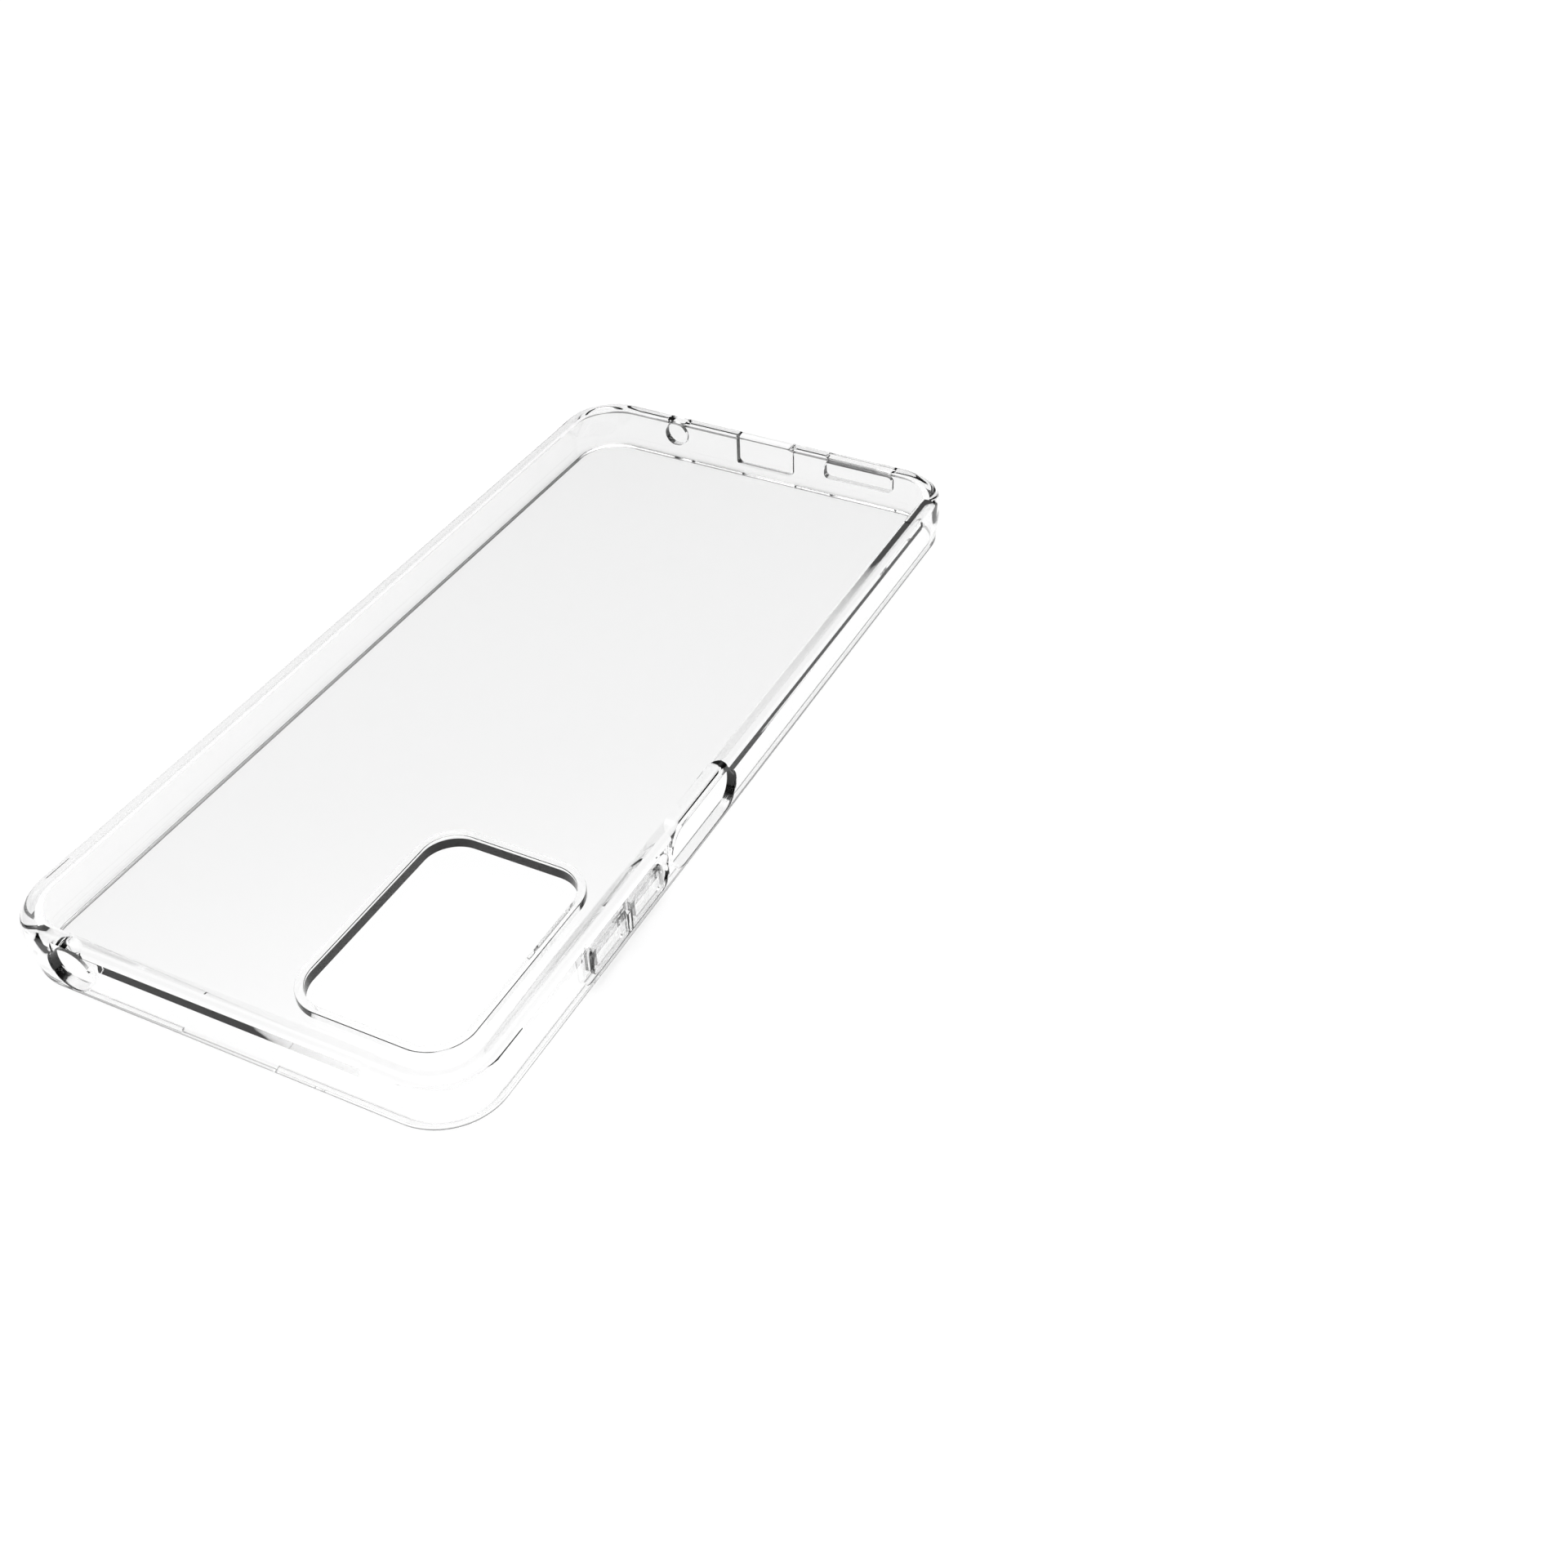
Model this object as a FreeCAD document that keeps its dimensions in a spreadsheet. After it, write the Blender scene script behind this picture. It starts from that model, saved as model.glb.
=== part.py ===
"""Clear phone case: hard back panel, soft bumper frame, camera guard and two volume keys.

Part frame, in millimetres: +Z points out of the back, +Y towards the camera end of the phone
and +X across it. The origin is the middle of the front rim's plane, so the case rests on z = 0.
"""
import FreeCAD, Part
import math
import os
import Sketcher

doc = FreeCAD.newDocument("PhoneCase")

# ---------------------------------------------------------------- driving dimensions
DIMENSIONS = {
    # outside of the bumper frame
    "case_length": 167.4,
    "case_width": 78.3,
    "case_height": 9.8,
    "corner_radius": 10.0,
    "facet_start": 7.2,
    "facet_angle": 10.0,
    "back_round": 1.0,
    "rim_round": 0.8,
    # inside: pocket for the phone, lip in front of it, shelf under the back panel
    "wall": 1.6,
    "lip_height": 0.8,
    "lip_inset": 2.2,
    "shelf_inset": 2.9,
    "shelf_slope_start": 7.5,
    "panel_inset": 1.9,
    "panel_thickness": 1.0,
    # camera opening and its raised guard
    "camera_across": -21.3,
    "camera_along": 59.9,
    "camera_width": 25.2,
    "camera_length": 36.9,
    "camera_radius": 5.3,
    "guard_liner": 0.6,
    "guard_flange": 1.3,
    "guard_height": 1.2,
    "guard_round": 0.4,
    # openings in the walls; port_level is the phone's mid-height
    "cut_margin": 1.0,
    "port_level": 4.9,
    "port_corner": 1.0,
    "usb_width": 12.0,
    "usb_tall": 6.4,
    "usb_level": 5.2,
    "speaker_across": -20.0,
    "speaker_width": 14.2,
    "speaker_tall": 3.4,
    "speaker_level": 5.3,
    "mic_across": 19.6,
    "mic_radius": 2.35,
    "jack_across": 26.2,
    "jack_radius": 3.6,
    "relief_across": 24.5,
    "relief_width": 8.2,
    "relief_depth": 0.25,
    "relief_level": 7.9,
    "relief_tall": 3.4,
    "relief_corner": 0.3,
    "finger_along": 17.0,
    "finger_length": 20.4,
    "finger_tall": 7.2,
    "finger_corner": 3.5,
    "notch_width": 16.4,
    "notch_tall": 0.45,
    # volume keys in their recess on the -X wall
    "keys_along": 41.1,
    "keys_level": 4.9,
    "key_pitch": 10.9,
    "recess_length": 24.4,
    "recess_tall": 6.6,
    "recess_corner": 1.8,
    "recess_depth": 0.6,
    "land_thickness": 0.4,
    "backing_length": 21.6,
    "backing_tall": 5.8,
    "backing_corner": 0.8,
    "key_length": 9.6,
    "key_tall": 5.2,
    "key_corner": 1.2,
    "key_thickness": 0.7,
    "key_proud": 0.5,
    "key_round": 0.3,
    "stem_length": 7.0,
    "stem_tall": 3.4,
    "stem_corner": 0.6,
    "stem_clearance": 0.25,
    "flange_length": 8.8,
    "flange_tall": 4.8,
    "flange_gap": 0.05,
    "bridge_length": 0.8,
}

sheet = doc.addObject("Spreadsheet::Sheet", "Dims")
for row, (alias, value) in enumerate(DIMENSIONS.items(), start=1):
    sheet.set(f"A{row}", str(value))
    sheet.setAlias(f"A{row}", alias)
doc.recompute()


def value_of(expression):
    """Number that an expression of sheet aliases stands for."""
    probe = sheet.evalExpression(expression)
    return float(getattr(probe, "Value", probe))


def bind(thing, path, expression):
    """Tie a property to the sheet; aliases in the expression are written as #name."""
    thing.setExpression(path, expression.replace("#", "Dims."))


def amount(expression):
    """Present value of a #alias expression."""
    return value_of(expression.replace("#", ""))


# ---------------------------------------------------------------- sketches and features
def new_body(label):
    """Body whose Label names its file."""
    body = doc.addObject("PartDesign::Body", label)
    body.Label = label
    return body


def new_sketch(body, name, role, right="0", up="0", out="0"):
    """Sketch on one of the body's own origin planes, shifted by three expressions."""
    plane = next(item for item in body.Origin.OriginFeatures if item.Role == role)
    sketch = body.newObject("Sketcher::SketchObject", name)
    sketch.AttachmentSupport = [(plane, "")]
    sketch.MapMode = "FlatFace"
    for axis, expression in (("x", right), ("y", up), ("z", out)):
        bind(sketch, f"AttachmentOffset.Base.{axis}", expression)
    return sketch


def draw_rounded_rectangle(sketch, width, length, radius):
    """Rounded rectangle about the sketch's origin, driven by three expressions."""
    half_w = amount(width) / 2
    half_l = amount(length) / 2
    r = amount(radius)
    point = FreeCAD.Vector
    corners = [(half_w - r, r - half_l), (half_w - r, half_l - r),
               (r - half_w, half_l - r), (r - half_w, r - half_l)]
    sides = [((r - half_w, -half_l), (half_w - r, -half_l)),
             ((half_w, r - half_l), (half_w, half_l - r)),
             ((half_w - r, half_l), (r - half_w, half_l)),
             ((-half_w, half_l - r), (-half_w, r - half_l))]
    for start, end in sides:
        sketch.addGeometry(Part.LineSegment(point(*start), point(*end)), False)
    for turn, centre in enumerate(corners):
        circle = Part.Circle(point(*centre), point(0, 0, 1), r)
        first = (turn - 1) * math.pi / 2
        sketch.addGeometry(Part.ArcOfCircle(circle, first, first + math.pi / 2), False)
    rule = Sketcher.Constraint
    for turn in range(4):
        sketch.addConstraint(rule("Tangent", turn, 2, 4 + turn, 1))
        sketch.addConstraint(rule("Tangent", 4 + turn, 2, (turn + 1) % 4, 1))
    for turn in (0, 2):
        sketch.addConstraint(rule("Horizontal", turn))
        sketch.addConstraint(rule("Vertical", turn + 1))
    for turn in (5, 6, 7):
        sketch.addConstraint(rule("Equal", 4, turn))
    sketch.addConstraint(rule("Symmetric", 4, 3, 6, 3, -1, 1))
    sized = (("width", rule("DistanceX", 3, 1, 1, 1, 2 * half_w), width),
             ("length", rule("DistanceY", 0, 1, 2, 1, 2 * half_l), length),
             ("radius", rule("Radius", 4, r), radius))
    for name, constraint, expression in sized:
        index = sketch.addConstraint(constraint)
        sketch.renameConstraint(index, name)
        bind(sketch, f"Constraints.{name}", expression)


def draw_circle(sketch, radius):
    """Circle about the sketch's origin."""
    circle = Part.Circle(FreeCAD.Vector(0, 0, 0), FreeCAD.Vector(0, 0, 1), amount(radius))
    sketch.addGeometry(circle, False)
    sketch.addConstraint(Sketcher.Constraint("Coincident", 0, 3, -1, 1))
    index = sketch.addConstraint(Sketcher.Constraint("Radius", 0, amount(radius)))
    sketch.renameConstraint(index, "radius")
    bind(sketch, "Constraints.radius", radius)


def extrude(body, kind, name, sketch, length, taper=None):
    """Pad or Pocket of a sketch; a feature that changes no volume is refused."""
    before = body.Shape.Volume if body.Shape and not body.Shape.isNull() else 0.0
    feature = body.newObject(f"PartDesign::{kind}", name)
    feature.Profile = sketch
    bind(feature, "Length", length)
    if taper is not None:
        bind(feature, "TaperAngle", taper)
    doc.recompute()
    change = body.Shape.Volume - before
    grows = kind == "Pad"
    if (change > 0) != grows or abs(change) < 1e-3:
        raise RuntimeError(f"{name} changed the volume by {change:.4f} mm3")
    return feature


def edges_at_level(shape, axis, level):
    """Names of the edges that lie wholly in one plane across an axis."""
    found = []
    for index, edge in enumerate(shape.Edges, start=1):
        box = edge.BoundBox
        lowest = getattr(box, axis + "Min")
        highest = getattr(box, axis + "Max")
        if abs(lowest - level) < 1e-4 and abs(highest - level) < 1e-4:
            found.append(f"Edge{index}")
    return found


def round_edges(body, name, axis, level, radius):
    """Fillet on every edge in one plane of the body's present shape."""
    base = body.Tip
    names = edges_at_level(base.Shape, axis, amount(level))
    fillet = body.newObject("PartDesign::Fillet", name)
    fillet.Base = (base, names)
    bind(fillet, "Radius", radius)
    doc.recompute()
    return fillet


def place(body, across, along, level):
    """Body's Placement from three expressions."""
    for axis, expression in (("x", across), ("y", along), ("z", level)):
        bind(body, f"Placement.Base.{axis}", expression)


def inset_outline(body, name, inset, level):
    """Outline of the case pulled in by inset all round, at a level on Z."""
    sketch = new_sketch(body, name, "XY_Plane", out=level)
    draw_rounded_rectangle(sketch, f"#case_width - 2 * ({inset})",
                           f"#case_length - 2 * ({inset})", f"#corner_radius - ({inset})")
    return sketch


# ---------------------------------------------------------------- bumper frame
# Wall sketches stand on the inner side of the wall that they pierce, one margin clear of it,
# except on the -Y wall, where they stand outside: a Pocket cuts against its sketch's normal.
NEAR_WALL = "-(#case_length / 2 - #lip_inset - #cut_margin)"
FAR_WALL = "#case_length / 2 + #cut_margin"
KEY_WALL = "-(#case_width / 2 - #lip_inset - #cut_margin)"
THROUGH = "#lip_inset + 2 * #cut_margin"


def pierce(body, name, role, wall, across, level, draw):
    """Opening straight through one wall."""
    sketch = new_sketch(body, f"{name}_outline", role, across, level, wall)
    draw(sketch)
    return extrude(body, "Pocket", name, sketch, THROUGH)


def build_bumper_frame():
    """Soft surround: faceted wall, front lip, shelf for the panel and all wall openings."""
    body = new_body("bumper_frame")
    block = inset_outline(body, "wall_outline", "0", "0")
    extrude(body, "Pad", "wall_block", block, "#facet_start")
    upper = inset_outline(body, "facet_outline", "0", "#facet_start")
    extrude(body, "Pad", "upper_facet", upper, "#case_height - #facet_start", "-#facet_angle")
    round_edges(body, "rim_edge", "Z", "0", "#rim_round")
    round_edges(body, "back_edge", "Z", "#case_height", "#back_round")

    seat = inset_outline(body, "seat_outline", "#panel_inset", "#case_height")
    extrude(body, "Pocket", "panel_seat", seat, "#panel_thickness")
    shelf_level = "#case_height - #panel_thickness"
    shelf = inset_outline(body, "shelf_outline", "#shelf_inset", shelf_level)
    slope = "atan((#shelf_inset - #wall) / (#case_height - #panel_thickness - #shelf_slope_start))"
    extrude(body, "Pocket", "shelf_slope", shelf,
            "#case_height - #panel_thickness - #shelf_slope_start", slope)
    pocket = inset_outline(body, "phone_outline", "#wall", "#shelf_slope_start")
    extrude(body, "Pocket", "phone_pocket", pocket, "#shelf_slope_start - #lip_height")
    screen = inset_outline(body, "screen_outline", "#lip_inset", "#lip_height")
    extrude(body, "Pocket", "screen_opening", screen, "#lip_height + #cut_margin")

    pierce(body, "usb_slot", "XZ_Plane", FAR_WALL, "0", "#usb_level",
           lambda s: draw_rounded_rectangle(s, "#usb_width", "#usb_tall", "#port_corner"))
    pierce(body, "speaker_slot", "XZ_Plane", FAR_WALL, "#speaker_across", "#speaker_level",
           lambda s: draw_rounded_rectangle(s, "#speaker_width", "#speaker_tall", "#port_corner"))
    pierce(body, "mic_hole", "XZ_Plane", FAR_WALL, "#mic_across", "#speaker_level",
           lambda s: draw_circle(s, "#mic_radius"))
    pierce(body, "jack_hole", "XZ_Plane", NEAR_WALL, "#jack_across", "#port_level",
           lambda s: draw_circle(s, "#jack_radius"))
    pierce(body, "earpiece_notch", "XZ_Plane", NEAR_WALL, "0", "0",
           lambda s: draw_rounded_rectangle(s, "#notch_width", "2 * #notch_tall",
                                            "#notch_tall / 2"))
    pierce(body, "finger_slot", "YZ_Plane", KEY_WALL, "#finger_along", "#port_level",
           lambda s: draw_rounded_rectangle(s, "#finger_length", "#finger_tall",
                                            "#finger_corner"))

    relief = new_sketch(body, "relief_outline", "XZ_Plane", "#relief_across", "#relief_level",
                        "-(#case_length / 2 - #relief_depth)")
    draw_rounded_rectangle(relief, "#relief_width", "#relief_tall", "#relief_corner")
    extrude(body, "Pocket", "jack_relief", relief, "#cut_margin")
    return cut_key_recess(body)


def cut_key_recess(body):
    """Outer recess, inner backing pocket and the two key windows in the land between them."""
    recess = new_sketch(body, "recess_outline", "YZ_Plane", "#keys_along", "#keys_level",
                        "-(#case_width / 2 - #recess_depth)")
    draw_rounded_rectangle(recess, "#recess_length", "#recess_tall", "#recess_corner")
    extrude(body, "Pocket", "key_recess", recess, "#recess_depth + #cut_margin")
    backing = new_sketch(body, "backing_outline", "YZ_Plane", "#keys_along", "#keys_level",
                         "-(#case_width / 2 - #wall)")
    draw_rounded_rectangle(backing, "#backing_length", "#backing_tall", "#backing_corner")
    extrude(body, "Pocket", "key_backing", backing, "#wall - #recess_depth - #land_thickness")
    for name, side in (("up", "+"), ("down", "-")):
        window = new_sketch(body, f"window_{name}_outline", "YZ_Plane",
                            f"#keys_along {side} #key_pitch / 2", "#keys_level", KEY_WALL)
        draw_rounded_rectangle(window, "#stem_length + 2 * #stem_clearance",
                               "#stem_tall + 2 * #stem_clearance", "#stem_corner")
        extrude(body, "Pocket", f"window_{name}", window, THROUGH)
    bridge = new_sketch(body, "bridge_outline", "YZ_Plane", "#keys_along", "#keys_level",
                        "-(#case_width / 2)")
    draw_rounded_rectangle(bridge, "#bridge_length", "#stem_tall", "#relief_corner")
    extrude(body, "Pad", "key_bridge", bridge, "#recess_depth + #land_thickness / 2")
    return body


# ---------------------------------------------------------------- back panel and camera guard
CAMERA_PLACE = ("#camera_across", "#camera_along", "0")


def camera_outline(body, name, grow, level, centred):
    """Camera opening's outline grown by an amount, about the body's origin or at its place."""
    across, along = ("0", "0") if centred else CAMERA_PLACE[:2]
    sketch = new_sketch(body, name, "XY_Plane", across, along, level)
    draw_rounded_rectangle(sketch, f"#camera_width + 2 * ({grow})",
                           f"#camera_length + 2 * ({grow})", f"#camera_radius + ({grow})")
    return sketch


def build_back_panel():
    """Hard clear plate that drops into the frame's seat, with the camera opening cut out."""
    body = new_body("back_panel")
    plate = inset_outline(body, "plate_outline", "#panel_inset",
                          "#case_height - #panel_thickness")
    extrude(body, "Pad", "plate", plate, "#panel_thickness")
    opening = camera_outline(body, "opening_outline", "#guard_liner",
                             "#case_height + #cut_margin", False)
    extrude(body, "Pocket", "camera_opening", opening, "#panel_thickness + 2 * #cut_margin")
    return body


def build_camera_guard():
    """Raised ring: a liner through the panel's opening under a wider flange on top of it."""
    body = new_body("camera_guard_ring")
    liner = camera_outline(body, "liner_outline", "#guard_liner", "0", True)
    extrude(body, "Pad", "liner", liner, "#panel_thickness")
    flange = camera_outline(body, "flange_outline", "#guard_flange", "#panel_thickness", True)
    extrude(body, "Pad", "flange", flange, "#guard_height")
    inner = camera_outline(body, "inner_outline", "0",
                           "#panel_thickness + #guard_height + #cut_margin", True)
    extrude(body, "Pocket", "inner_opening", inner,
            "#panel_thickness + #guard_height + 2 * #cut_margin")
    round_edges(body, "flange_edge", "Z", "#panel_thickness + #guard_height", "#guard_round")
    place(body, *CAMERA_PLACE[:2], "#case_height - #panel_thickness")
    return body


# ---------------------------------------------------------------- volume keys
def build_volume_key(label, side):
    """Key pad outside the wall, stem through its window and retaining flange behind the land."""
    body = new_body(label)
    pad_face = "-(#case_width / 2 + #key_proud)"
    stem_start = f"{pad_face} + #key_thickness"
    flange_start = "-(#case_width / 2 - #recess_depth - #land_thickness - #flange_gap)"
    pad = new_sketch(body, "pad_outline", "YZ_Plane", out=pad_face)
    draw_rounded_rectangle(pad, "#key_length", "#key_tall", "#key_corner")
    extrude(body, "Pad", "pad", pad, "#key_thickness")
    round_edges(body, "pad_edge", "X", pad_face, "#key_round")
    stem = new_sketch(body, "stem_outline", "YZ_Plane", out=stem_start)
    draw_rounded_rectangle(stem, "#stem_length", "#stem_tall", "#stem_corner")
    extrude(body, "Pad", "stem", stem, f"{flange_start} - ({stem_start})")
    flange = new_sketch(body, "flange_outline", "YZ_Plane", out=flange_start)
    draw_rounded_rectangle(flange, "#flange_length", "#flange_tall", "#stem_corner")
    extrude(body, "Pad", "flange", flange,
            f"-(#case_width / 2 - #wall) - #flange_gap - ({flange_start})")
    place(body, "0", f"#keys_along {side} #key_pitch / 2", "#keys_level")
    return body


# ---------------------------------------------------------------- build, check and write
sub_parts = [
    build_bumper_frame(),
    build_back_panel(),
    build_camera_guard(),
    build_volume_key("volume_up_key", "+"),
    build_volume_key("volume_down_key", "-"),
]
doc.recompute()

for item in doc.Objects:
    if "Invalid" in item.State or "Error" in item.State:
        raise RuntimeError(f"{item.Name} did not recompute: {item.State}")

os.makedirs("parts", exist_ok=True)
for body in sub_parts:
    shape = body.Shape
    if shape.isNull() or not shape.isValid() or len(shape.Solids) != 1:
        raise RuntimeError(f"{body.Label} is not one valid solid")
    box = shape.BoundBox
    print(f"{body.Label:18s} {shape.Volume:9.1f} mm3  x {box.XMin:.2f}..{box.XMax:.2f}"
          f"  y {box.YMin:.2f}..{box.YMax:.2f}  z {box.ZMin:.2f}..{box.ZMax:.2f}")
for body in sub_parts:
    body.Shape.exportStep(f"parts/{body.Label}.step")
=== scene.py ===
"""Looks of the clear phone case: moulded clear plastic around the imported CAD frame, in metres."""

import math

import bmesh
import bpy
from mathutils import Euler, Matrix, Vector


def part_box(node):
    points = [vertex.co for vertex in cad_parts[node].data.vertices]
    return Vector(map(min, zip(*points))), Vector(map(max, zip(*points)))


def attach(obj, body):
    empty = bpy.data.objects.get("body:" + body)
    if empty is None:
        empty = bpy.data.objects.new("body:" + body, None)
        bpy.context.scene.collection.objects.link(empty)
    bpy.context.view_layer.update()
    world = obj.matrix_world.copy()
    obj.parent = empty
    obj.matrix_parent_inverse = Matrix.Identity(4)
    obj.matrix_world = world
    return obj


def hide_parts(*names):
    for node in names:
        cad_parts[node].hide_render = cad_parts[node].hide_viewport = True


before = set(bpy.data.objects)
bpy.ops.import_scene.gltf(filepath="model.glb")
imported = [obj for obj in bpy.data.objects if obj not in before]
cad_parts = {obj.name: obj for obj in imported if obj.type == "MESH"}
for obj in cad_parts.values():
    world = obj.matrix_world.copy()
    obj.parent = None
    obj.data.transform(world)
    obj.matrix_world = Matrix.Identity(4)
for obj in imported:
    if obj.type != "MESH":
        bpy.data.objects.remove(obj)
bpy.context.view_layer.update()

MM = 0.001
DOWN_TO_TABLE = 0.02 * MM

# ---------------------------------------------------------------- sizes
# The overall sizes and places are read from the CAD nodes.
FRAME_LOW, FRAME_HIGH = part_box("bumper_frame")
PANEL_LOW, PANEL_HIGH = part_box("back_panel")
GUARD_LOW, GUARD_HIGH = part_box("camera_guard_ring")
WIDTH = FRAME_HIGH.x - FRAME_LOW.x
LENGTH = FRAME_HIGH.y - FRAME_LOW.y
HEIGHT = FRAME_HIGH.z
CORNER = 10.0 * MM
WALL = 1.6 * MM
RIM_RADIUS = 0.8 * MM
LIP_HEIGHT = 0.8 * MM
LIP_INSET = 2.2 * MM
LIP_EASE = 0.12 * MM
SHELF_INSET = 2.9 * MM
SHELF_SLOPE_START = 7.5 * MM
FACET_START = 7.2 * MM
PANEL_INSET = (WIDTH - (PANEL_HIGH.x - PANEL_LOW.x)) / 2
PANEL_BOTTOM = PANEL_LOW.z
PANEL_TOP = PANEL_HIGH.z
GUARD_WIDTH = GUARD_HIGH.x - GUARD_LOW.x
GUARD_LENGTH = GUARD_HIGH.y - GUARD_LOW.y
GUARD_PLACE = (GUARD_LOW + GUARD_HIGH) / 2
GUARD_FLANGE = 1.3 * MM
GUARD_LINER = 0.6 * MM
GUARD_CROWN = 0.2 * MM
GUARD_CORNER = 5.3 * MM + GUARD_FLANGE
OPENING_INSET = GUARD_FLANGE - GUARD_LINER
PORT_LEVEL = 4.9 * MM
KEYS_ALONG = (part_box("volume_up_key")[1].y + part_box("volume_down_key")[0].y) / 2
RECESS_DEPTH = 0.6 * MM
RECESS_LIFT = 0.15 * MM
LAND = 0.4 * MM
BACKING_DEPTH = 1.7 * MM
BACKING_LIFT = 0.3 * MM
FINGER_LIFT = 0.35 * MM
FINGER_LIFT_DEPTH = 1.0 * MM
RELIEF_DEPTH = 0.25 * MM
RELIEF_FLARE = 0.2 * MM
OPENING_LIP = 0.3 * MM
OUTSIDE = -1.0 * MM
CUT_DEPTH = 3.2 * MM
THIN_STEP = 0.01 * MM
BRIDGE_LENGTH = 0.8 * MM
BRIDGE_PROUD = 0.45 * MM
BRIDGE_EASE = 0.08 * MM
BRIDGE_ROOT = 0.8 * MM
CUSHION_BULGE = 0.9 * MM
CUSHION_WIDEST = 6.2 * MM
CUSHION_RUN = 5.2 * MM
CUSHION_STEP = 0.5 * MM
# Length along the wall and height of each section of a key, and of the window it slides in.
KEY_FLANGE = (8.8 * MM, 4.8 * MM)
KEY_STEM = (7.0 * MM, 3.4 * MM)
KEY_WINDOW = (7.5 * MM, 3.9 * MM)

# ---------------------------------------------------------------- how finely curves are cut
CORNER_STEPS = 24
ARC_STEPS = 12
WALL_STEPS = 10
FACET_STEPS = 3
CREASE_ANGLE = 7.8  # degrees: a sharper bend than this is shaded as a crisp edge
MERGE_DISTANCE = 0.0001 * MM
# Signs of x and y at the four corners, counter-clockwise.
CORNER_SIDES = ((1, 1), (-1, 1), (-1, -1), (1, -1))


# ---------------------------------------------------------------- mesh helpers
def rounded_outline(width, length, radius, steps=CORNER_STEPS):
    """Points of a rounded rectangle about the origin, counter-clockwise; four radii may differ."""
    radii = radius if isinstance(radius, tuple) else (radius,) * 4
    points = []
    for turn, (side_x, side_y) in enumerate(CORNER_SIDES):
        rounding = radii[turn]
        centre = Vector((side_x * (width / 2 - rounding), side_y * (length / 2 - rounding)))
        for step in range(steps + 1):
            angle = (turn + step / steps) * math.pi / 2
            points.append(centre + rounding * Vector((math.cos(angle), math.sin(angle))))
    return points


def arc(centre, radius, start, end):
    """Points of an arc in a section, angles in degrees from the inset axis."""
    points = []
    for step in range(ARC_STEPS + 1):
        angle = math.radians(start + (end - start) * step / ARC_STEPS)
        points.append((centre[0] + radius * math.cos(angle),
                       centre[1] + radius * math.sin(angle)))
    return points


def mesh_object(name, bm, *materials):
    """Object from a bmesh, with its materials in slots."""
    bmesh.ops.recalc_face_normals(bm, faces=bm.faces)
    mesh = bpy.data.meshes.new(name)
    bm.to_mesh(mesh)
    bm.free()
    piece = bpy.data.objects.new(name, mesh)
    bpy.context.scene.collection.objects.link(piece)
    for material in materials:
        piece.data.materials.append(material)
    return piece


def loft(bm, loops, closed=False, bonded=()):
    """Quads between loops of equal length, capped unless closed round; bonded spans get slot 1."""
    rings = [[bm.verts.new(point) for point in loop] for loop in loops]
    pairs = list(zip(rings, rings[1:]))
    if closed:
        pairs.append((rings[-1], rings[0]))
    for span, (low, high) in enumerate(pairs):
        for index in range(len(low)):
            following = (index + 1) % len(low)
            face = bm.faces.new((low[index], low[following], high[following], high[index]))
            face.material_index = 1 if span in bonded else 0
    if not closed:
        bm.faces.new(list(reversed(rings[0])))
        bm.faces.new(rings[-1])


def apply_modifiers(piece):
    """Bakes the piece's modifiers into its mesh."""
    depsgraph = bpy.context.evaluated_depsgraph_get()
    mesh = bpy.data.meshes.new_from_object(piece.evaluated_get(depsgraph))
    piece.modifiers.clear()
    piece.data = mesh


def polish(piece):
    """Smooth shading with crisp edges and normals that keep flat faces flat."""
    bpy.context.view_layer.objects.active = piece
    piece.select_set(True)
    bpy.ops.object.shade_smooth_by_angle(angle=math.radians(CREASE_ANGLE))
    piece.select_set(False)
    weighted = piece.modifiers.new("weighted", "WEIGHTED_NORMAL")
    weighted.keep_sharp = True
    apply_modifiers(piece)


def combine(piece, operation, tools):
    """Cuts the tools out of the piece, or joins them to it, one after another."""
    for tool in tools:
        boolean = piece.modifiers.new("combine", "BOOLEAN")
        boolean.operation = operation
        boolean.solver = "EXACT"
        boolean.object = tool
        apply_modifiers(piece)
        bpy.data.objects.remove(tool)


UP = Vector((0, 0, 1))
# Each wall has a frame of its own: a point on its outer face, the way along it and the way out.
WALLS = {
    "keys": (Vector((-WIDTH / 2, 0, 0)), Vector((0, 1, 0)), Vector((-1, 0, 0))),
    "camera_end": (Vector((0, LENGTH / 2, 0)), Vector((1, 0, 0)), Vector((0, 1, 0))),
    "port_end": (Vector((0, -LENGTH / 2, 0)), Vector((1, 0, 0)), Vector((0, -1, 0))),
}


def wall_tool(name, wall, across, level, width, tall, corner, stages):
    """Rounded prism set in a wall; stages are (depth below the outer face, growth, top lift)."""
    origin, right, out = WALLS[wall]
    centre = origin + right * across + UP * level
    bm = bmesh.new()
    loops = []
    for depth, growth, lift in stages:
        outline = rounded_outline(width + 2 * growth, tall + 2 * growth + lift, corner + growth,
                                  ARC_STEPS)
        loops.append([centre + right * p.x + UP * (p.y + lift / 2) - out * depth for p in outline])
    loft(bm, loops)
    return mesh_object(name, bm, CLEAR_FRAME)


def flared(end, lift=0.0, lifted_at=None):
    """Stages of an opening with a quarter-round outer edge, whose top may rise further in."""
    stages = [(OUTSIDE, OPENING_LIP, 0.0)]
    for step in range(ARC_STEPS + 1):
        angle = math.radians(90 * step / ARC_STEPS)
        stages.append((OPENING_LIP * (1 - math.cos(angle)), OPENING_LIP * (1 - math.sin(angle)),
                       0.0))
    if lift:
        stages.append((lifted_at, 0.0, lift))
    stages.append((end, 0.0, lift))
    return stages


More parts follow.
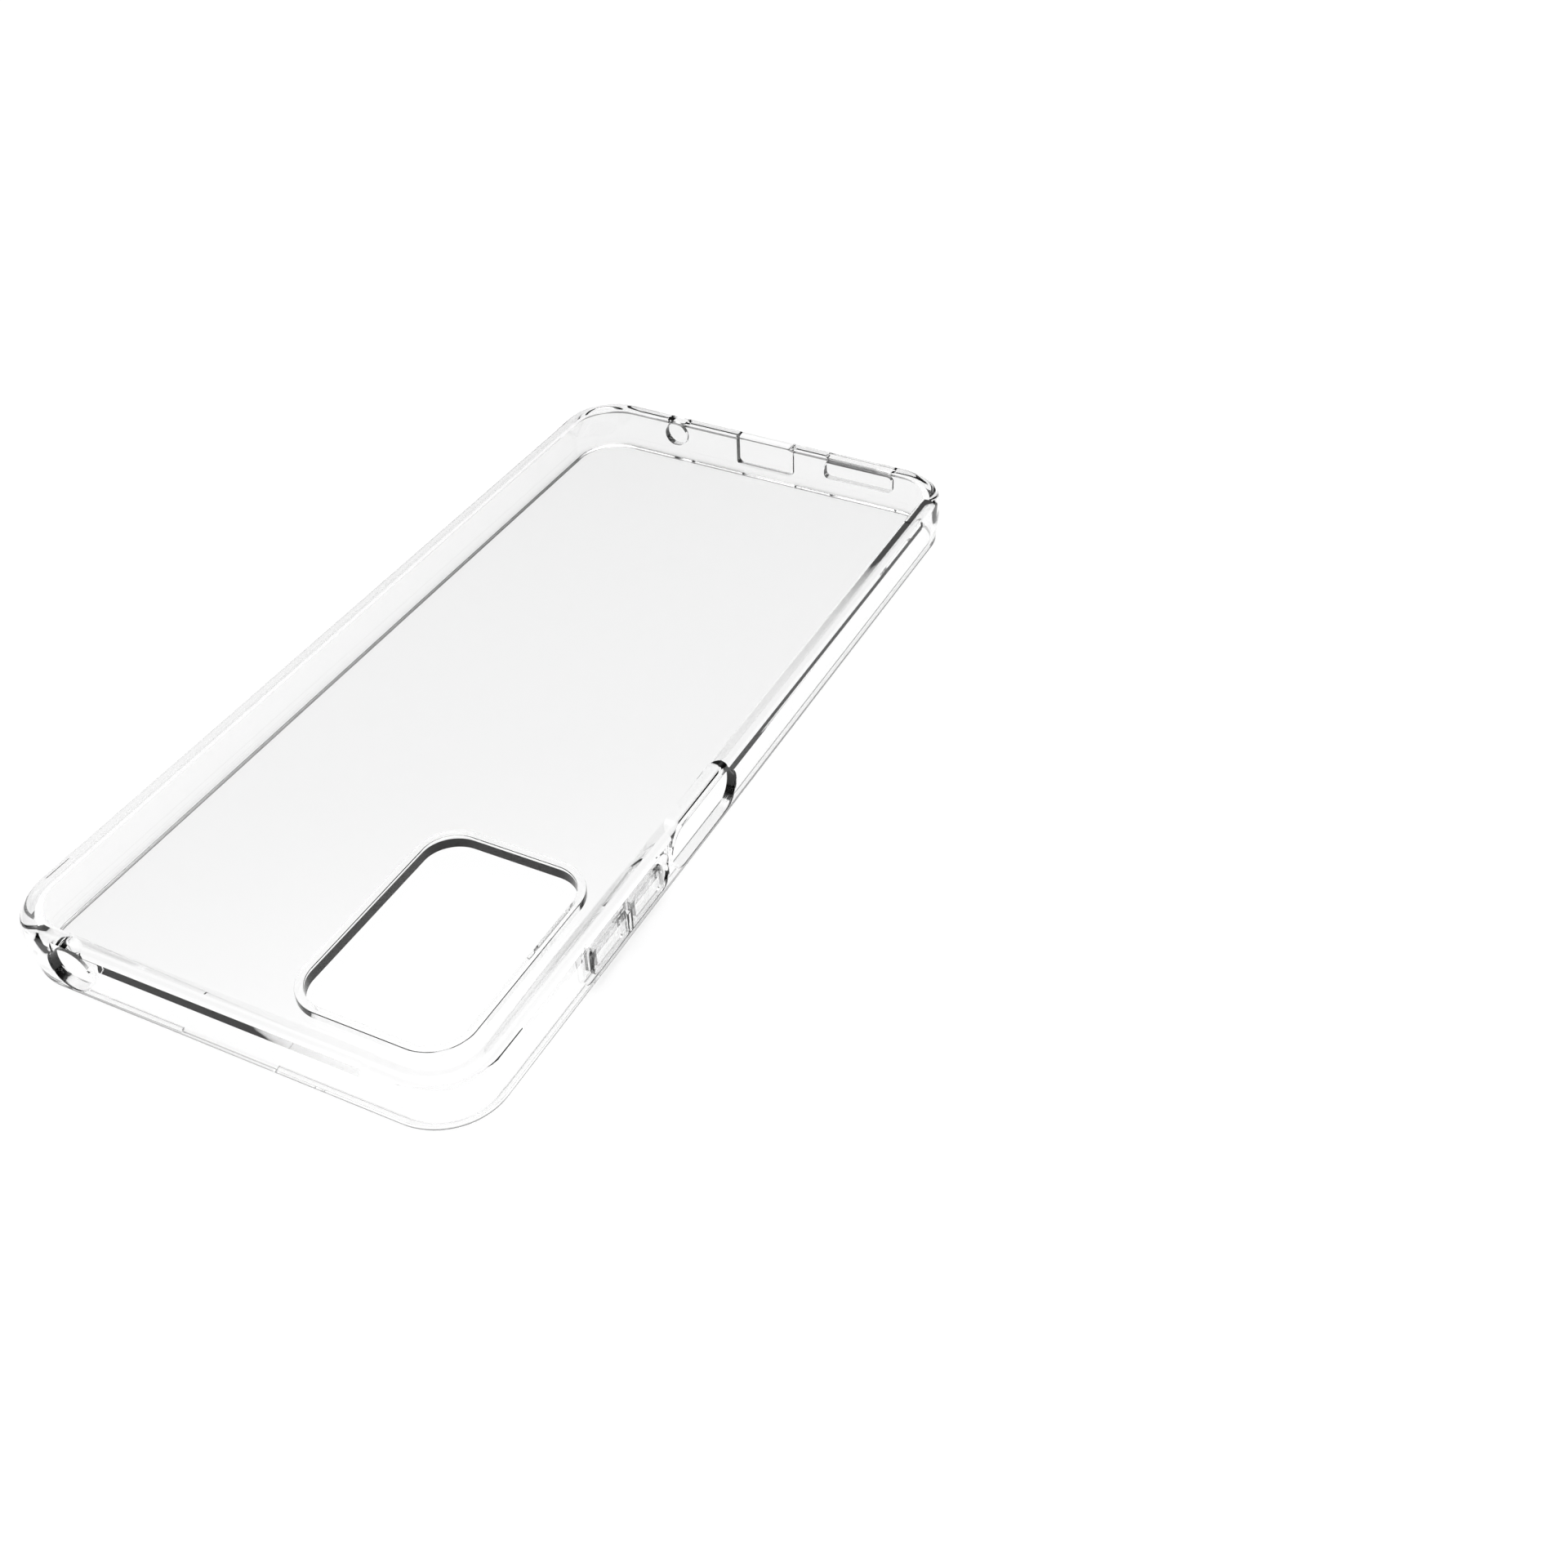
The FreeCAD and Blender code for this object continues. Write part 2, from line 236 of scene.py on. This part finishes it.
# ---------------------------------------------------------------- materials
PLASTIC_IOR = 1.49
WAVE_SCALE = 55.0
WAVE_DETAIL = 1.0
GRAIN_SCALE = 3500.0
GRAIN_DETAIL = 3.0
THROUGH_SHADE = 0.97  # share of the light that a straight ray keeps at each face


def shader_nodes(material):
    """Node tree's nodes and links of a new material."""
    material.use_nodes = True
    return material.node_tree.nodes, material.node_tree.links


def clear_plastic(name, haze, wave_height, grain_height=0.0):
    """Clear moulded plastic that bends light, with faint flow waves and optional fine grain."""
    material = bpy.data.materials.new(name)
    nodes, links = shader_nodes(material)
    shader = nodes["Principled BSDF"]
    shader.inputs["Base Color"].default_value = (1, 1, 1, 1)
    shader.inputs["IOR"].default_value = PLASTIC_IOR
    shader.inputs["Transmission Weight"].default_value = 1.0
    shader.inputs["Roughness"].default_value = haze
    coords = nodes.new("ShaderNodeTexCoord")
    waves = nodes.new("ShaderNodeTexNoise")
    waves.inputs["Scale"].default_value = WAVE_SCALE
    waves.inputs["Detail"].default_value = WAVE_DETAIL
    links.new(coords.outputs["Object"], waves.inputs["Vector"])
    bump = nodes.new("ShaderNodeBump")
    bump.inputs["Distance"].default_value = wave_height
    links.new(waves.outputs["Fac"], bump.inputs["Height"])
    last = bump
    if grain_height:
        grain = nodes.new("ShaderNodeTexNoise")
        grain.inputs["Scale"].default_value = GRAIN_SCALE
        grain.inputs["Detail"].default_value = GRAIN_DETAIL
        links.new(coords.outputs["Object"], grain.inputs["Vector"])
        last = nodes.new("ShaderNodeBump")
        last.inputs["Distance"].default_value = grain_height
        links.new(grain.outputs["Fac"], last.inputs["Height"])
        links.new(bump.outputs["Normal"], last.inputs["Normal"])
    links.new(last.outputs["Normal"], shader.inputs["Normal"])
    # shadow rays, and rays that bounced off the table, go straight through the plastic
    rays = nodes.new("ShaderNodeLightPath")
    either = nodes.new("ShaderNodeMath")
    either.operation = "MAXIMUM"
    links.new(rays.outputs["Is Shadow Ray"], either.inputs[0])
    links.new(rays.outputs["Is Diffuse Ray"], either.inputs[1])
    clear = nodes.new("ShaderNodeBsdfTransparent")
    clear.inputs["Color"].default_value = (THROUGH_SHADE,) * 3 + (1,)
    mix = nodes.new("ShaderNodeMixShader")
    links.new(either.outputs[0], mix.inputs["Fac"])
    links.new(shader.outputs[0], mix.inputs[1])
    links.new(clear.outputs[0], mix.inputs[2])
    links.new(mix.outputs[0], nodes["Material Output"].inputs["Surface"])
    return material


def bonded_face(name):
    """Face where two clear pieces are bonded: plastic on both sides, so light isn't bent."""
    material = bpy.data.materials.new(name)
    nodes, links = shader_nodes(material)
    clear = nodes.new("ShaderNodeBsdfTransparent")
    links.new(clear.outputs[0], nodes["Material Output"].inputs["Surface"])
    return material


CLEAR_FRAME = clear_plastic("clear_frame_look", haze=0.0, wave_height=0.002 * MM)
CLEAR_PANEL = clear_plastic("clear_panel_look", haze=0.0, wave_height=0.001 * MM)
CLEAR_GUARD = clear_plastic("clear_guard_look", haze=0.0, wave_height=0.001 * MM)
CLEAR_KEY = clear_plastic("clear_key_look", haze=0.08, wave_height=0.001 * MM,
                          grain_height=0.02 * MM)
BONDED = bonded_face("bonded_look")


# ---------------------------------------------------------------- bumper frame
def case_stations():
    """Stations round the case: point, outward normal, how far an end wall, how far a cushion."""
    stations = []
    for turn, (side_x, side_y) in enumerate(CORNER_SIDES):
        centre = Vector((side_x * (WIDTH / 2 - CORNER), side_y * (LENGTH / 2 - CORNER)))
        first = Vector((math.cos(turn * math.pi / 2), math.sin(turn * math.pi / 2)))
        last = Vector((-first.y, first.x))
        before = centre + CORNER * first
        after = centre + CORNER * last
        for run, cushion in ((CUSHION_RUN + CUSHION_STEP, 0.0), (CUSHION_RUN, 1.0)):
            stations.append((before - last * run, first, abs(first.y), cushion))
        for step in range(CORNER_STEPS + 1):
            angle = (turn + step / CORNER_STEPS) * math.pi / 2
            normal = Vector((math.cos(angle), math.sin(angle)))
            stations.append((centre + CORNER * normal, normal, normal.y ** 2, 1.0))
        for run, cushion in ((CUSHION_RUN, 1.0), (CUSHION_RUN + CUSHION_STEP, 0.0)):
            stations.append((after - first * run, last, abs(last.y), cushion))
    return stations


def bulge_share(height):
    """How far the corner cushions stand out at a height: 0 at the rim, 1 where they are widest."""
    if height < CUSHION_WIDEST:
        risen = max(height - RIM_RADIUS, 0) / (CUSHION_WIDEST - RIM_RADIUS)
        return (1 - math.cos(math.pi * risen)) / 2
    return max(math.cos(math.pi / 2 * (height - CUSHION_WIDEST) / (HEIGHT - CUSHION_WIDEST)), 0)


def outer_profile(lean, ring_inset, back_radius):
    """Outer wall from the rim up to the back, as (inset, height) points; lean is in degrees."""
    points = arc((RIM_RADIUS, RIM_RADIUS), RIM_RADIUS, 270, 180)
    points += [(0.0, RIM_RADIUS + step / WALL_STEPS * (FACET_START - RIM_RADIUS))
               for step in range(1, WALL_STEPS + 1)]
    back = arc((ring_inset, HEIGHT - back_radius), back_radius, 180 - lean, 90)
    facet_inset, facet_top = back[0]
    for step in range(1, FACET_STEPS):
        points.append((facet_inset * step / FACET_STEPS,
                       FACET_START + (facet_top - FACET_START) * step / FACET_STEPS))
    return points + back


def inner_profile():
    """Panel seat, shelf, inner wall and lip with its eased edges, down to the rim."""
    points = [(PANEL_INSET, HEIGHT), (PANEL_INSET, PANEL_BOTTOM), (SHELF_INSET, PANEL_BOTTOM),
              (WALL, SHELF_SLOPE_START), (WALL, LIP_HEIGHT)]
    points += arc((LIP_INSET - LIP_EASE, LIP_HEIGHT - LIP_EASE), LIP_EASE, 90, 0)
    points += arc((LIP_INSET - LIP_EASE, LIP_EASE), LIP_EASE, 0, -90)
    return points


def build_frame_ring():
    """Frame swept round the case: side walls, end walls and cushioned corners blend."""
    side = outer_profile(lean=8.0, ring_inset=1.30 * MM, back_radius=1.08 * MM)
    end = outer_profile(lean=12.0, ring_inset=1.36 * MM, back_radius=1.00 * MM)
    cushion = outer_profile(lean=0.0, ring_inset=1.34 * MM, back_radius=1.34 * MM)
    stations = case_stations()
    loops = []
    for index in range(len(side)):
        loop = []
        for point, normal, endwise, cushioned in stations:
            blended = [a + (b - a) * endwise for a, b in zip(side[index], end[index])]
            inset, height = [a + (b - a) * cushioned for a, b in zip(blended, cushion[index])]
            corner_share = (2 * normal.x * normal.y) ** 2  # 1 at mid corner, 0 on the walls
            flat = point - normal * (inset - CUSHION_BULGE * bulge_share(height) * corner_share)
            loop.append((flat.x, flat.y, height))
        loops.append(loop)
    first_bonded = len(loops)
    for inset, height in inner_profile():
        loops.append([(*(point - normal * inset), height) for point, normal, _, _ in stations])
    bm = bmesh.new()
    loft(bm, loops, closed=True, bonded=(first_bonded, first_bonded + 1))
    return mesh_object("clear_bumper", bm, CLEAR_FRAME, BONDED)


def build_bumper():
    """Frame with its openings, rounded at their outer edges, and the bridge between the keys."""
    piece = build_frame_ring()
    through = flared(CUT_DEPTH)
    straight = ((OUTSIDE, 0, 0), (CUT_DEPTH, 0, 0))
    openings = [
        wall_tool("finger_slot", "keys", across=17.0 * MM, level=4.85 * MM, width=20.4 * MM,
                  tall=7.1 * MM, corner=3.5 * MM,
                  stages=flared(CUT_DEPTH, FINGER_LIFT, FINGER_LIFT_DEPTH)),
        wall_tool("usb_slot", "port_end", across=0.0, level=5.2 * MM, width=12.0 * MM,
                  tall=6.4 * MM, corner=1.0 * MM, stages=through),
        wall_tool("speaker_slot", "port_end", across=-20.0 * MM, level=5.3 * MM,
                  width=14.2 * MM, tall=3.4 * MM, corner=1.0 * MM, stages=through),
        wall_tool("mic_hole", "port_end", across=19.6 * MM, level=5.3 * MM, width=4.7 * MM,
                  tall=4.7 * MM, corner=2.34 * MM, stages=through),
        wall_tool("jack_hole", "camera_end", across=26.2 * MM, level=PORT_LEVEL,
                  width=7.2 * MM, tall=7.2 * MM, corner=3.59 * MM, stages=through),
        wall_tool("earpiece_notch", "camera_end", across=0.0, level=0.0, width=16.4 * MM,
                  tall=0.9 * MM, corner=0.225 * MM, stages=straight),
        wall_tool("jack_relief", "camera_end", across=24.5 * MM, level=7.9 * MM,
                  width=8.2 * MM, tall=3.4 * MM, corner=0.3 * MM,
                  stages=((OUTSIDE, RELIEF_FLARE, 0), (RELIEF_DEPTH, 0, 0))),
        wall_tool("key_recess", "keys", across=KEYS_ALONG, level=PORT_LEVEL, width=24.4 * MM,
                  tall=6.4 * MM, corner=1.8 * MM,
                  stages=flared(RECESS_DEPTH, RECESS_LIFT, RECESS_DEPTH - THIN_STEP)),
        wall_tool("key_backing", "keys", across=KEYS_ALONG, level=4.75 * MM, width=21.6 * MM,
                  tall=5.5 * MM, corner=0.8 * MM,
                  stages=((RECESS_DEPTH + LAND, 0, 0), (BACKING_DEPTH, 0, BACKING_LIFT))),
    ]
    window_length, window_height = KEY_WINDOW
    for key in ("volume_up_key", "volume_down_key"):
        low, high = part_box(key)
        openings.append(wall_tool(f"{key}_window", "keys", across=(low.y + high.y) / 2,
                                  level=PORT_LEVEL, width=window_length, tall=window_height,
                                  corner=0.6 * MM, stages=straight))
    combine(piece, "DIFFERENCE", openings)
    bridge = wall_tool("key_bridge", "keys", across=KEYS_ALONG, level=4.25 * MM,
                       width=BRIDGE_LENGTH, tall=3.7 * MM, corner=0.1 * MM,
                       stages=((-BRIDGE_PROUD, -BRIDGE_EASE, 0),
                               (BRIDGE_EASE - BRIDGE_PROUD, 0, 0), (BRIDGE_ROOT, 0, 0)))
    combine(piece, "UNION", [bridge])
    polish(piece)
    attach(piece, "case_body")
    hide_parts("bumper_frame")


# ---------------------------------------------------------------- back panel
def flat_region(bm, outer, inner, height, slot):
    """Flat triangulated region between an outer outline and an inner one, at a height."""
    edges = []
    for outline in (outer, inner):
        verts = [bm.verts.new((p.x, p.y, height)) for p in outline]
        for index, vert in enumerate(verts):
            edges.append(bm.edges.new((vert, verts[(index + 1) % len(verts)])))
    made = bmesh.ops.triangle_fill(bm, use_beauty=True, use_dissolve=False, edges=edges)
    for item in made["geom"]:
        if isinstance(item, bmesh.types.BMFace):
            item.material_index = slot


def wall_region(bm, outline, low, high, slot):
    """Upright band of faces along an outline."""
    count = len(outline)
    lower = [bm.verts.new((p.x, p.y, low)) for p in outline]
    upper = [bm.verts.new((p.x, p.y, high)) for p in outline]
    for index in range(count):
        following = (index + 1) % count
        face = bm.faces.new((lower[index], lower[following], upper[following], upper[index]))
        face.material_index = slot


def inset_of_case(inset):
    """Case outline pulled in by an inset."""
    return rounded_outline(WIDTH - 2 * inset, LENGTH - 2 * inset, CORNER - inset)


def guard_outline(inset):
    """Camera guard's outline pulled in by an inset, at its place on the back."""
    outline = rounded_outline(GUARD_WIDTH - 2 * inset, GUARD_LENGTH - 2 * inset,
                              GUARD_CORNER - inset)
    return [p + Vector((GUARD_PLACE.x, GUARD_PLACE.y)) for p in outline]


def build_panel():
    """Hard back plate, with bonded faces where it meets the frame and the camera guard."""
    bm = bmesh.new()
    rim = inset_of_case(PANEL_INSET)
    shelf = inset_of_case(SHELF_INSET)
    opening = guard_outline(OPENING_INSET)
    flange = guard_outline(0.0)
    flat_region(bm, rim, flange, PANEL_TOP, 0)
    flat_region(bm, flange, opening, PANEL_TOP, 1)
    flat_region(bm, rim, shelf, PANEL_BOTTOM, 1)
    flat_region(bm, shelf, opening, PANEL_BOTTOM, 0)
    wall_region(bm, rim, PANEL_BOTTOM, PANEL_TOP, 1)
    wall_region(bm, opening, PANEL_BOTTOM, PANEL_TOP, 1)
    bmesh.ops.remove_doubles(bm, verts=bm.verts, dist=MERGE_DISTANCE)
    piece = mesh_object("clear_panel", bm, CLEAR_PANEL, BONDED)
    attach(piece, "case_body")
    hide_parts("back_panel")


# ---------------------------------------------------------------- camera guard
def build_guard():
    """Raised ring round the camera opening: liner in the panel, rounded flange above it."""
    top = GUARD_HIGH.z
    section = [(GUARD_FLANGE, PANEL_BOTTOM), (OPENING_INSET, PANEL_BOTTOM),
               (OPENING_INSET, PANEL_TOP), (0.0, PANEL_TOP)]
    section += arc((GUARD_CROWN, top - GUARD_CROWN), GUARD_CROWN, 180, 90)
    section += arc((GUARD_FLANGE - GUARD_CROWN, top - GUARD_CROWN), GUARD_CROWN, 90, 0)
    loops = [[(*point, height) for point in guard_outline(inset)] for inset, height in section]
    bm = bmesh.new()
    loft(bm, loops, closed=True, bonded=(1, 2))
    piece = mesh_object("clear_camera_guard", bm, CLEAR_GUARD, BONDED)
    polish(piece)
    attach(piece, "case_body")
    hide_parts("camera_guard_ring")


# ---------------------------------------------------------------- volume keys
def build_key(node, body, outer_end):
    """Key pad with a sloped top and two faces on its front, on its stem and retaining flange."""
    low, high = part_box(node)
    mid_end, tip = (low.y, high.y) if outer_end > 0 else (high.y, low.y)
    bottom = low.z
    top = high.z
    front = low.x + 0.05 * MM
    shoulder = low.x + 0.45 * MM
    shoulder_drop = 0.12 * MM
    pad_back = low.x + 0.7 * MM
    flange_start = high.x - 0.5 * MM
    inner_corner = 0.5 * MM
    round_corner = 1.2 * MM
    square_corner = 0.1 * MM
    stem_middle = (low.y + high.y) / 2
    inner = ((high.x, *KEY_FLANGE), (flange_start, *KEY_FLANGE), (flange_start, *KEY_STEM),
             (pad_back, *KEY_STEM))
    stages = [(x, stem_middle - outer_end * along / 2, stem_middle + outer_end * along / 2,
               PORT_LEVEL - tall / 2, PORT_LEVEL + tall / 2, inner_corner, inner_corner)
              for x, along, tall in inner]
    stages.append((pad_back, mid_end, tip, bottom, top, round_corner, square_corner))
    stages.append((shoulder, mid_end, tip, bottom, top - shoulder_drop, round_corner,
                   square_corner))
    ease = 0.25 * MM
    mid_ease_share = 0.3
    slope_start = 0.15 * MM
    slope_fall = 1.25 * MM
    for step in range(ARC_STEPS + 1):
        angle = math.radians(90 * step / ARC_STEPS)
        shrink = ease * (1 - math.cos(angle))
        slope = slope_start + slope_fall * math.sin(angle)
        stages.append((front + ease * (1 - math.sin(angle)),
                       mid_end + outer_end * shrink * mid_ease_share, tip - outer_end * shrink,
                       bottom + shrink, top - slope, round_corner - shrink, square_corner))
    ridge = bottom + 1.9 * MM
    ridge_half = 0.05 * MM
    ridge_corner = 0.04 * MM
    ridge_mid_inset = 0.1 * MM
    ridge_tip_inset = 0.6 * MM
    stages.append((low.x, mid_end + outer_end * ridge_mid_inset,
                   tip - outer_end * ridge_tip_inset, ridge - ridge_half, ridge + ridge_half,
                   ridge_corner, ridge_corner))
    bm = bmesh.new()
    loops = []
    for x, near, far, base, peak, outer, mid in stages:
        radii = (outer, mid, mid, outer) if outer_end > 0 else (mid, outer, outer, mid)
        outline = rounded_outline(abs(far - near), peak - base, radii, ARC_STEPS)
        loops.append([(x, (near + far) / 2 + p.x, (base + peak) / 2 + p.y) for p in outline])
    loft(bm, loops)
    piece = mesh_object(f"clear_{node}", bm, CLEAR_KEY)
    polish(piece)
    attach(piece, body)
    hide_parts(node)


build_bumper()
build_panel()
build_guard()
build_key("volume_up_key", "volume_up", 1)
build_key("volume_down_key", "volume_down", -1)

# ---------------------------------------------------------------- stage, light and camera
VIEW_AZIMUTH = 206.42
VIEW_ELEVATION = 40.21
VIEW_ROLL = -0.79
CAMERA_PLACE = Vector((-144.5, 202.0, 191.1)) * MM
LENS = 42.55
SENSOR_WIDTH = 36.0
NEAR_CLIP = 10 * MM
FLOOR_GREY = 0.9
WORLD_STRENGTH = 3.05
# How far up a direction points, from 0 for level to 1 for straight up, and how bright it is there.
WORLD_LEVELS = ((0.35, 0.02), (0.62, 0.06), (0.80, 0.45), (0.92, 1.0))


def add_camera():
    """Camera at the viewing angle, looking down the line that the angles give."""
    azimuth = math.radians(VIEW_AZIMUTH)
    elevation = math.radians(VIEW_ELEVATION)
    back = Vector((math.sin(azimuth) * math.cos(elevation),
                   -math.cos(azimuth) * math.cos(elevation), math.sin(elevation)))
    data = bpy.data.cameras.new("camera")
    data.lens = LENS
    data.sensor_width = SENSOR_WIDTH
    data.clip_start = NEAR_CLIP
    camera = bpy.data.objects.new("camera", data)
    bpy.context.scene.collection.objects.link(camera)
    camera.rotation_mode = "QUATERNION"
    aim = (-back).to_track_quat("-Z", "Y")
    camera.rotation_quaternion = aim @ Euler((0, 0, math.radians(VIEW_ROLL))).to_quaternion()
    camera.location = CAMERA_PLACE
    bpy.context.scene.camera = camera


def add_floor():
    """Wide pale floor just under the rim."""
    bm = bmesh.new()
    reach = 3.0
    corners = ((-reach, -reach), (reach, -reach), (reach, reach), (-reach, reach))
    bm.faces.new([bm.verts.new((x, y, -DOWN_TO_TABLE)) for x, y in corners])
    material = bpy.data.materials.new("pale_floor")
    nodes, _ = shader_nodes(material)
    shader = nodes["Principled BSDF"]
    shader.inputs["Base Color"].default_value = (FLOOR_GREY,) * 3 + (1,)
    shader.inputs["Roughness"].default_value = 1.0
    shader.inputs["Specular IOR Level"].default_value = 0.0
    floor = mesh_object("floor", bm, material)


def add_world():
    """World that is bright overhead and dim lower down, so that the clear edges draw dark."""
    world = bpy.data.worlds.new("studio")
    bpy.context.scene.world = world
    world.use_nodes = True
    nodes = world.node_tree.nodes
    links = world.node_tree.links
    background = nodes["Background"]
    coords = nodes.new("ShaderNodeTexCoord")
    split = nodes.new("ShaderNodeSeparateXYZ")
    ramp = nodes.new("ShaderNodeValToRGB")
    links.new(coords.outputs["Generated"], split.inputs[0])
    links.new(split.outputs["Z"], ramp.inputs["Fac"])
    ramp.color_ramp.interpolation = "EASE"
    stops = ramp.color_ramp.elements
    while len(stops) < len(WORLD_LEVELS):
        stops.new(0.5)  # its place is set below
    for stop, (height, level) in zip(stops, WORLD_LEVELS):
        stop.position = height
        stop.color = (level, level, level, 1)
    links.new(ramp.outputs["Color"], background.inputs["Color"])
    background.inputs["Strength"].default_value = WORLD_STRENGTH


add_camera()
add_floor()
add_world()
bpy.context.scene.view_settings.view_transform = "Standard"
